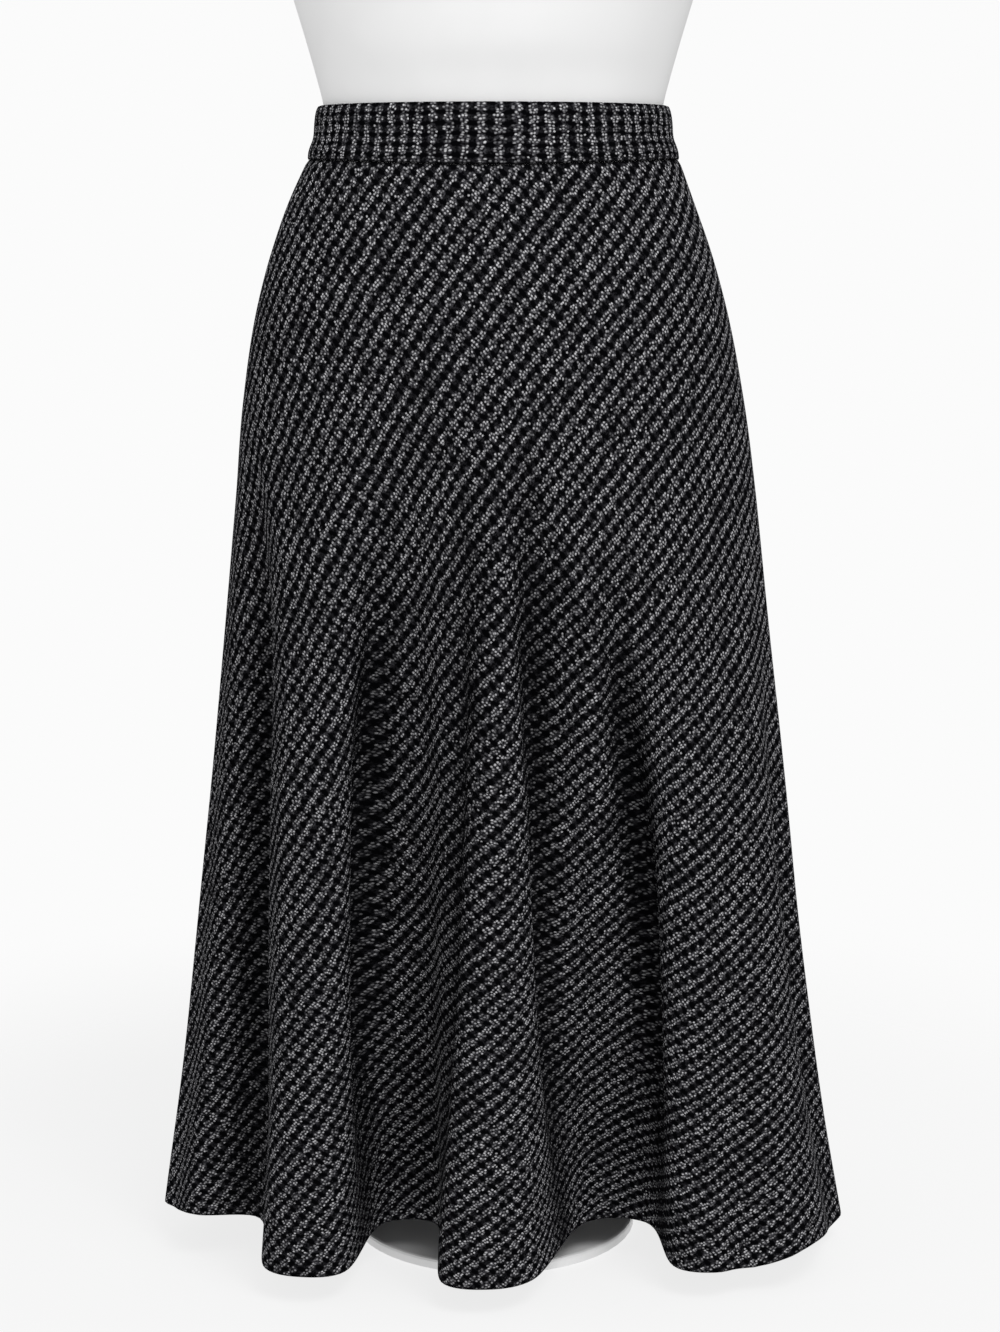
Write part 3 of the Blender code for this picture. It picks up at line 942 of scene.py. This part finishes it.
@dataclass(frozen=True)
class FloorFinish:
    """A pale matt floor round the stand that melts into the white room."""

    fade: Ramp = Ramp(0.38, 0.85)
    matt: Colour = (0.16, 0.16, 0.16, 1.0)
    glow: float = 0.80

    def apply(self, graph: Graph) -> None:
        """Add the finish's nodes.

        Args:
            graph: The material's nodes.
        """
        place = graph.node("ShaderNodeTexCoord", {}, {}, "Object")
        length = {"operation": "LENGTH"}
        away = graph.node("ShaderNodeVectorMath", length, {0: place}, "Value")
        clear = graph.node("ShaderNodeBsdfTransparent", {}, {})
        layers = {0: away.smooth(self.fade), 1: Socket(graph, graph.shader.outputs[0]), 2: clear}
        seen = graph.node("ShaderNodeMixShader", {}, layers)
        graph.tree.links.new(seen.link, graph.tree.nodes["Material Output"].inputs["Surface"])
        graph.dress(Base_Color=self.matt, Roughness=1.0, Specular_IOR_Level=0.0)
        graph.dress(Emission_Color=WHITE, Emission_Strength=self.glow)


class Finish(Enum):
    """The finishes of this object, by what they dress."""

    TWEED = TweedFinish()
    FORM = SmoothFinish((0.90, 0.90, 0.90, 1.0), roughness=0.60)
    STAND = SmoothFinish((0.88, 0.88, 0.88, 1.0), roughness=0.35, coat=0.2)
    ZIP_METAL = SmoothFinish((0.02, 0.02, 0.022, 1.0), roughness=0.35, metallic=0.7, grain=3000.0)
    NYLON = SmoothFinish((0.012, 0.012, 0.013, 1.0), roughness=0.45, grain=2000.0)
    TAPE = TapeFinish()
    FLOOR = FloorFinish()

    def build(self, name: str) -> bpy.types.Material:
        """Make a material with this finish.

        Args:
            name: The material's name.

        Returns:
            The material.
        """
        graph = Graph(bpy.data.materials.new(name))
        self.value.apply(graph)
        return graph.owner


# ------------------------------------------------------------------ meshes
def finished_mesh(
    name: str, shape: bmesh.types.BMesh, sharp: float | None = None
) -> bpy.types.Mesh:
    """Turn a bmesh into a smooth mesh and let the bmesh go.

    Args:
        name: The mesh's name.
        shape: The bmesh.
        sharp: The angle in degrees past which an edge stays sharp, if any does.

    Returns:
        The mesh.
    """
    mesh = bpy.data.meshes.new(name)
    shape.to_mesh(mesh)
    shape.free()
    mesh.shade_smooth()
    if sharp is not None:
        mesh.set_sharp_from_angle(angle=math.radians(sharp))
    return mesh


def close_ends(shape: bmesh.types.BMesh) -> None:
    """Fill a shape's open ends."""
    rims = [edge for edge in shape.edges if edge.is_boundary]
    bmesh.ops.holes_fill(shape, edges=rims, sides=0)


def paint(thing: bpy.types.Object, material: bpy.types.Material) -> None:
    """Give an object its finish in place of what it has."""
    thing.data.materials.clear()
    thing.data.materials.append(material)


def add_piece(
    name: str, mesh: bpy.types.Mesh, material: bpy.types.Material, wall: float = 0.0
) -> bpy.types.Object:
    """Link a finished mesh to the scene and let it ride with the skirt.

    Args:
        name: The piece's name.
        mesh: Its mesh, in place.
        material: Its finish.
        wall: How thick an open sheet gets, inwards.

    Returns:
        The piece.
    """
    piece = bpy.data.objects.new(name, mesh)
    paint(piece, material)
    bpy.context.scene.collection.objects.link(piece)
    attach(piece, ROOT_BODY)
    if wall:
        solid = piece.modifiers.new("wall", "SOLIDIFY")
        solid.thickness = wall
        solid.offset = -1.0
    return piece


class Laid(NamedTuple):
    """What a surface gives for grid points: places, weave coordinates, and the painted shade that
    dims the flecks.
    """

    points: np.ndarray
    weave: np.ndarray
    shade: np.ndarray


def crowded(count: int, span: float, near: Place) -> np.ndarray:
    """Split a span into steps that are even, but fine at both ends.

    Args:
        count: Number of steps.
        span: The whole length.
        near: The first three places from each end.

    Returns:
        The places, one more than the steps.
    """
    inner = np.linspace(near[2], span - near[2], count - 5)
    return np.concatenate([[0.0, near[0], near[1]], inner, [span - near[1], span - near[0], span]])


def grid_mesh(
    name: str,
    columns: int,
    rows: int,
    lay: Callable[[np.ndarray, int], Laid],
    closed_rows: bool = False,
    weld: float = 1e-6,
) -> bpy.types.Mesh:
    """Lay a grid over a surface.

    Args:
        name: The mesh's name.
        columns: Faces across.
        rows: Faces down.
        lay: Gives one row of the grid, from the numbers of its columns and its own number.
        closed_rows: Whether the last row meets the first, as round a band's cross-section.
        weld: How near two corners are that become one there.

    Returns:
        The mesh, with its weave map.
    """
    shape = bmesh.new()
    bmesh.ops.create_grid(shape, x_segments=columns, y_segments=rows, size=0.5)
    shape.verts.ensure_lookup_table()
    raw = np.array([vert.co[:2] for vert in shape.verts]) + 0.5
    column = np.rint(raw[:, 0] * columns).astype(int)
    row = np.rint((1 - raw[:, 1]) * rows).astype(int)
    weave = np.zeros((len(raw), 2))
    # painted shade for each corner: how far the tweed darkens its weave in crease hollows and along
    # seams and edges
    painted_shade_layer = shape.verts.layers.float.new(SHADE_NAME)
    for number in range(rows + 1):
        chosen = np.flatnonzero(row == number)
        laid = lay(column[chosen], number)
        weave[chosen] = laid.weave
        for index, point, painted_shade_value in zip(chosen, laid.points, laid.shade):
            shape.verts[index].co = point
            shape.verts[index][painted_shade_layer] = painted_shade_value
    layer = shape.loops.layers.uv.new(WEAVE_MAP)
    for face in shape.faces:
        for loop in face.loops:
            loop[layer].uv = weave[loop.vert.index]
    if closed_rows:
        bmesh.ops.remove_doubles(shape, verts=shape.verts, dist=weld)
        close_ends(shape)
    bmesh.ops.recalc_face_normals(shape, faces=shape.faces)
    return finished_mesh(name, shape)


def face_outwards(mesh: bpy.types.Mesh) -> bpy.types.Mesh:
    """Turn an open wall's faces away from the middle axis.

    Args:
        mesh: The wall.

    Returns:
        The same mesh.
    """
    middle = mesh.polygons[len(mesh.polygons) // 2]
    if middle.normal.x * middle.center.x + middle.normal.y * middle.center.y < 0:
        mesh.flip_normals()
    return mesh


# ------------------------------------------------------------------ the garment
@dataclass
class SkirtPanel:
    """One cut panel, from first_share to last_share round the skirt."""

    name: str
    first_share: float
    middle_share: float  # the upright line that the bias cut is laid out from
    last_share: float
    columns: int
    mirrored: bool
    flat_size: Pair
    flat_area: float
    shape: SkirtShape
    grain: BiasGrain
    rows: int = 176
    fine_rows: Place = (0.0007, 0.0016, 0.0032)
    fine_columns: Place = (0.0006, 0.0014, 0.0028)
    edge_curl: float = 0.0006
    edge_reach: float = 0.0022
    waist_curl: float = 1.5
    # reach of the painted shade along the seams and the hem, the crease depth at which the painted
    # shade in the hollows is full, and its strength there
    edge_shade: float = 0.0013
    hollow_depth: float = 0.0125
    hollow_shade: float = 0.72
    fan_half_angle: float = 0.346
    fan_radius: float = 0.462

    def _weave(self, share: np.ndarray, z: float) -> np.ndarray:
        """Weave coordinates along and across the fleck rows, of a ring.

        The panel lies flat as a fan, and its threads cross it on the bias.

        Args:
            share: Places on the ring.
            z: The ring's nominal height.

        Returns:
            Two columns, in metres of thread.
        """
        swing = (share - self.middle_share) / QUARTER * self.fan_half_angle
        if self.mirrored:
            swing = -swing
        radius = self.fan_radius + SEAM_Z - z
        fallen = radius * np.cos(swing) - self.fan_radius
        across = radius * np.sin(swing) + self.grain.drift(fallen)
        wide = self.grain.closeness_across(fallen) * across
        tall = self.grain.thread_fallen(fallen)
        return np.column_stack([wide - tall, wide + tall])

    def _lay(self, column: np.ndarray, row: int) -> Laid:
        """One row of the panel's grid, from the waist seam down to the hem.

        Args:
            column: The numbers of the row's columns.
            row: The row's number.

        Returns:
            The row.
        """
        fallen = crowded(self.rows, SEAM_Z - HEM_Z, self.fine_rows)[row]
        z = SEAM_Z - fallen
        ring = self.shape.hull(z).length
        trim = SEAM_GAP / 2 / ring
        width = self.last_share - self.first_share - 2 * trim
        share = self.first_share + trim + crowded(self.columns, width, self.fine_columns)[column]
        beside = np.minimum(share - self.first_share, self.last_share - share) * ring
        curl = np.exp(-((beside / self.edge_reach) ** 2))
        curl = curl + self.waist_curl * math.exp(-((fallen / self.edge_reach) ** 2))
        # painted shade: the weave is darkened near the seams and the hem edge, and in the crease
        # hollows, where shade falls
        nearest = np.minimum(np.minimum(beside, fallen), z - HEM_Z)
        hollow = self.shape.crease_depth(share, z, ring, to_hem=True) / self.hollow_depth
        shade = np.exp(-((nearest / self.edge_shade) ** 2))
        shade = np.maximum(shade, self.hollow_shade * np.clip(hollow, 0.0, 1.0))
        points = self.shape.ring_points(share, z, self.edge_curl * curl)
        return Laid(points, self._weave(share, z), shade)

    def build(self, material: bpy.types.Material) -> bpy.types.Object:
        """Make the panel as a wall.

        Args:
            material: The tweed.

        Returns:
            The piece.
        """
        mesh = face_outwards(grid_mesh(self.name, self.columns, self.rows, self._lay))
        piece = add_piece(self.name + "_cloth", mesh, material, CLOTH)
        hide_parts(self.name)
        return piece


@dataclass
class Waistband:
    """The doubled straight strip round the waist, its ends meeting at the centre back.

    Its fleck rows stand upright, a little wider apart over the middle of the front.
    """

    columns: int = 260
    section_points: int = 52
    pucker_height: float = 0.0005
    pucker_out: float = 0.0001
    pucker_round: float = 4.0
    pucker_up: float = 0.3
    pucker_seed: float = 0.6
    # reach of the painted shade at the band's foot, by the waist seam
    edge_shade: float = 0.0016
    thread_up: float = 0.085
    thread_round: float = 0.614
    slack: float = 0.0059
    slack_share: float = 0.050
    length: float = 0.690
    height: float = 0.0390

    @staticmethod
    def _section(where: float) -> np.ndarray:
        """Find a place round the band's cross-section.

        Args:
            where: The share of the way round, from 0 to 1.

        Returns:
            Its rise, and its depth in thicknesses.
        """
        corners = np.array([*BAND_CORNERS, BAND_CORNERS[0]], dtype=float)
        scaled = corners * np.array([BAND_RISE, BAND_THICKNESS])
        steps = np.linalg.norm(np.diff(scaled, axis=0), axis=1)
        marks = np.concatenate([[0.0], np.cumsum(steps)]) / steps.sum()
        return np.array([np.interp(where, marks, column) for column in corners.T])

    def _lay(self, column: np.ndarray, row: int) -> Laid:
        """One row of the band's grid, round its cross-section from the seam, outside first.

        Args:
            column: The numbers of the row's columns.
            row: The row's number.

        Returns:
            The row.
        """
        way_round = row / self.section_points
        rise, depth = self._section(way_round)
        columns = ("side", "side", "front", "back")
        ring = Outline(oval(*(table_value(BAND_SECTIONS, "rise", name, rise) for name in columns)))
        trim = SEAM_GAP / 2 / ring.length
        share = -0.5 + trim + column / self.columns * (1 - 2 * trim)
        plan = ring.at(share)
        inward = -plan / np.linalg.norm(plan, axis=1)[:, None]
        wave = ripple(share * self.pucker_round, rise * self.pucker_up, self.pucker_seed)
        wave = self.pucker_height * math.sin(math.pi * rise) * wave
        sunk = depth * BAND_THICKNESS + np.maximum(wave, -self.pucker_out)
        foot = SEAM_Z + SEAM_GAP - SkirtShape.seam_dip(share)
        height = foot + rise * (BAND_TOP_Z - foot)
        thread = share * self.thread_round - self.slack * np.tanh(share / self.slack_share)
        return Laid(
            np.column_stack([plan + inward * sunk[:, None], height]),
            np.column_stack([np.full(len(share), way_round * self.thread_up), thread]),
            # painted shade at the band's foot, where it meets the skirt
            np.full(len(share), math.exp(-((rise * self.height / self.edge_shade) ** 2))),
        )

    def build(self, material: bpy.types.Material) -> bpy.types.Object:
        """Make the band.

        Args:
            material: The tweed.

        Returns:
            The piece.
        """
        lay, rows = self._lay, self.section_points
        mesh = grid_mesh("waistband", self.columns, rows, lay, closed_rows=True)
        piece = add_piece("waistband_cloth", mesh, material)
        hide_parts("waistband")
        return piece


@dataclass
class ConcealedZip:
    """The zip behind the centre back seam: its tapes, teeth, slider and pull."""

    shape: SkirtShape
    top_z: float = SEAM_Z - 0.004
    low_z: float = 0.586
    half_width: float = 0.0125
    gap: float = 0.0008
    low_gap: float = 0.0018
    gap_turn_z: float = 0.66
    gap_turn: float = 0.04
    thickness: float = 0.0005
    columns: int = 10
    rows: int = 60
    first_tooth: float = 0.001
    tooth_pitch: float = 0.0013
    tooth_radius: float = 0.0004
    tooth_length: float = 0.0030
    tooth_rise: float = 0.3
    tooth_sway: float = 0.0006
    tooth_sides: int = 8
    tooth_sharp: float = 40.0

    def _depth(self, z: float) -> float:
        """How far the tapes lie in from the cloth's outer face: closer where the form is near."""
        turned = min(1.0, max(0.0, (self.gap_turn_z - z) / self.gap_turn))
        return CLOTH + self.gap + turned * (self.low_gap - self.gap)

    def _teeth(self) -> bpy.types.Mesh:
        """Make the nylon coil on the tapes' inner face, its loops meeting by turns.

        Returns:
            The coil's mesh.
        """
        shape = bmesh.new()
        across = mathutils.Matrix.Rotation(math.radians(90), 4, "Y")
        top = self.top_z - self.first_tooth
        for number in range(int((top - self.low_z) / self.tooth_pitch)):
            z = top - number * self.tooth_pitch
            depth = self._depth(z) + self.thickness + self.tooth_radius * self.tooth_rise
            middle = self.shape.ring_points(np.array([0.5]), z, depth)[0]
            middle[0] += self.tooth_sway * (-1) ** number
            bmesh.ops.create_cone(
                shape,
                cap_ends=True,
                segments=self.tooth_sides,
                radius1=self.tooth_radius,
                radius2=self.tooth_radius,
                depth=self.tooth_length,
                matrix=mathutils.Matrix.Translation(middle) @ across,
            )
        return finished_mesh("zip_teeth", shape, self.tooth_sharp)

    def _lay(self, column: np.ndarray, row: int) -> Laid:
        """One row of the tapes' outer face, from the top down.

        Args:
            column: The numbers of the row's columns.
            row: The row's number.

        Returns:
            The row.
        """
        z = self.top_z - row / self.rows * (self.top_z - self.low_z)
        side = (column / self.columns - 0.5) * 2 * self.half_width
        share = 0.5 + side / self.shape.hull(z).length
        points = self.shape.ring_points(share, z, self._depth(z))
        return Laid(points, np.column_stack([side, np.full(len(side), z)]), np.zeros(len(side)))

    def build(
        self, tape: bpy.types.Material, nylon: bpy.types.Material, metal: bpy.types.Material
    ) -> list[bpy.types.Object]:
        """Make the tapes and the coil, and dress the slider and the pull.

        Args:
            tape: The woven tape's finish.
            nylon: The coil's finish.
            metal: The slider's finish.

        Returns:
            The new pieces.
        """
        mesh = face_outwards(grid_mesh("zip_tape", self.columns, self.rows, self._lay))
        piece = add_piece("zip_tape_cloth", mesh, tape, self.thickness)
        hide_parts("zip_tape")
        for name in ("zip_slider", "zip_pull"):
            paint(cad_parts[name], metal)
        return [piece, add_piece("zip_teeth", self._teeth(), nylon)]


# ------------------------------------------------------------------ the form and its stand
@dataclass
class DressForm:
    """The smooth limbless hip form that carries the skirt, on its pole and plate."""

    columns: int = 128
    rows: int = 110
    sharp: float = 50.0

    def _ring(self, z: float) -> np.ndarray:
        """One ring of the form.

        Args:
            z: The ring's height.

        Returns:
            Its points.
        """
        columns = ("side", "side", "front", "back")
        sizes = (table_value(FORM_SECTIONS, "z", column, z) for column in columns)
        plan = oval(*sizes, steps=self.columns)[:-1]
        return np.column_stack([plan, np.full(len(plan), z)])

    def build(self, skin: bpy.types.Material, enamel: bpy.types.Material) -> bpy.types.Object:
        """Make the form and dress the stand.

        Args:
            skin: The form's finish.
            enamel: The stand's finish.

        Returns:
            The new piece.
        """
        heights = np.linspace(FORM_SECTIONS[0].z, FORM_SECTIONS[-1].z, self.rows)
        shape = bmesh.new()
        ring = bmesh.ops.create_circle(shape, segments=self.columns)["verts"]
        for vert, point in zip(ring, self._ring(heights[0])):
            vert.co = point
        edges = list(shape.edges)
        for z in heights[1:]:
            grown = bmesh.ops.extrude_edge_only(shape, edges=edges)["geom"]
            lower = [part for part in grown if isinstance(part, bmesh.types.BMVert)]
            edges = [part for part in grown if isinstance(part, bmesh.types.BMEdge)]
            for vert, point in zip(lower, self._ring(z)):
                vert.co = point
        close_ends(shape)
        bmesh.ops.recalc_face_normals(shape, faces=shape.faces)
        # extruding leaves the faces in any order, so they are sorted by their first corners
        shape.verts.index_update()
        count = len(shape.verts)
        shape.faces.sort(key=lambda face: face.verts[0].index * count + face.verts[1].index)
        mesh = finished_mesh("dress_form", shape, self.sharp)
        piece = add_piece("dress_form_shell", mesh, skin)
        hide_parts("dress_form")
        for name in ("pole", "base_plate"):
            paint(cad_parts[name], enamel)
        return piece


# ------------------------------------------------------------------ camera, floor and light
class Lamp(NamedTuple):
    """One soft square lamp, what it points at and how wide its beam opens."""

    name: str
    place: Place
    size: float
    watts: float
    aim: Place = (0.0, 0.0, 0.42)
    spread: float = 180.0


@dataclass
class Studio:
    """A pale floor, an even white room, soft lamps from the front, and the camera."""

    camera_place: Place = (0.0044, -1.75, 0.7193)
    camera_pitch: float = 10.2617
    lens: float = 69.568
    sensor: float = 36.0
    room_white: float = 0.965
    room_light: float = 0.52
    floor_reach: float = 1.2
    lamps: tuple[Lamp, ...] = (
        Lamp("key", (0.78, -1.67, 2.78), 1.1, 29.0),
        Lamp("over", (1.31, -1.31, 2.78), 1.1, 14.0),
        Lamp("side", (1.97, -1.97, 1.54), 1.1, 5.5),
        Lamp("form", (-1.60, -1.90, 1.30), 0.5, 0.45, (0.0, 0.0, 0.92), 24.0),
    )

    def build(self) -> None:
        """Set up the camera, the room, the floor and the lamps."""
        scene = bpy.context.scene
        camera = bpy.data.objects.new("camera", bpy.data.cameras.new("camera"))
        camera.data.sensor_width = self.sensor
        camera.data.lens = self.lens
        camera.location = self.camera_place
        camera.rotation_euler = (math.radians(90 - self.camera_pitch), 0.0, 0.0)
        scene.collection.objects.link(camera)
        scene.camera = camera
        scene.view_settings.view_transform = "Standard"
        self._room()
        self._floor()
        for lamp in self.lamps:
            self._hang(lamp)

    def _room(self) -> None:
        """Make the room white to look at, and softer as a light."""
        graph = Graph(bpy.data.worlds.new("room"), "Background")
        level = {
            "Value": graph.node("ShaderNodeLightPath", {}, {}, "Is Camera Ray"),
            "To Min": self.room_light,
            "To Max": self.room_white,
        }
        graph.dress(Color=WHITE, Strength=graph.node("ShaderNodeMapRange", {}, level))
        bpy.context.scene.world = graph.owner

    def _floor(self) -> None:
        """Lay a wide pale floor."""
        shape = bmesh.new()
        bmesh.ops.create_grid(shape, x_segments=1, y_segments=1, size=self.floor_reach)
        floor = bpy.data.objects.new("floor", finished_mesh("floor", shape))
        paint(floor, Finish.FLOOR.build("floor"))
        bpy.context.scene.collection.objects.link(floor)

    def _hang(self, lamp: Lamp) -> None:
        """Hang one lamp and turn it to its aim.

        Args:
            lamp: The lamp's place, size, power and beam.
        """
        light = bpy.data.objects.new(lamp.name, bpy.data.lights.new(lamp.name, "AREA"))
        light.data.shape = "SQUARE"
        light.data.size = lamp.size
        light.data.energy = lamp.watts
        light.data.spread = math.radians(lamp.spread)
        light.location = lamp.place
        x, y, z = np.array(lamp.aim) - np.array(lamp.place)
        light.rotation_euler = (math.atan2(math.hypot(x, y), -z), 0.0, math.atan2(-x, y))
        bpy.context.scene.collection.objects.link(light)


def main() -> None:
    """Build every class in order and report each piece."""
    logging.basicConfig(level=logging.INFO, format="%(message)s")
    Studio().build()
    shape, grain = SkirtShape(), BiasGrain()
    tweed = Finish.TWEED.build("tweed")
    front = ((0.86, 0.80), 0.417, shape, grain)
    half = ((0.45, 0.80), 0.211, shape, grain)
    panels = (
        SkirtPanel("front_panel", -QUARTER, 0.0, QUARTER, 216, False, *front),
        SkirtPanel("back_panel_left", QUARTER, 0.50, 0.50, 108, False, *half),
        SkirtPanel("back_panel_right", -0.50, -0.50, -QUARTER, 108, True, *half),
    )
    pieces = [panel.build(tweed) for panel in panels]
    pieces.append(Waistband().build(tweed))
    tape, nylon = Finish.TAPE.build("zip_tape"), Finish.NYLON.build("zip_coil")
    pieces += ConcealedZip(shape).build(tape, nylon, Finish.ZIP_METAL.build("zip_metal"))
    skin, enamel = Finish.FORM.build("form_skin"), Finish.STAND.build("stand_paint")
    pieces.append(DressForm().build(skin, enamel))
    for piece in pieces:
        LOG.info("%s: %d faces", piece.name, len(piece.data.polygons))


if __name__ == "__main__":
    main()
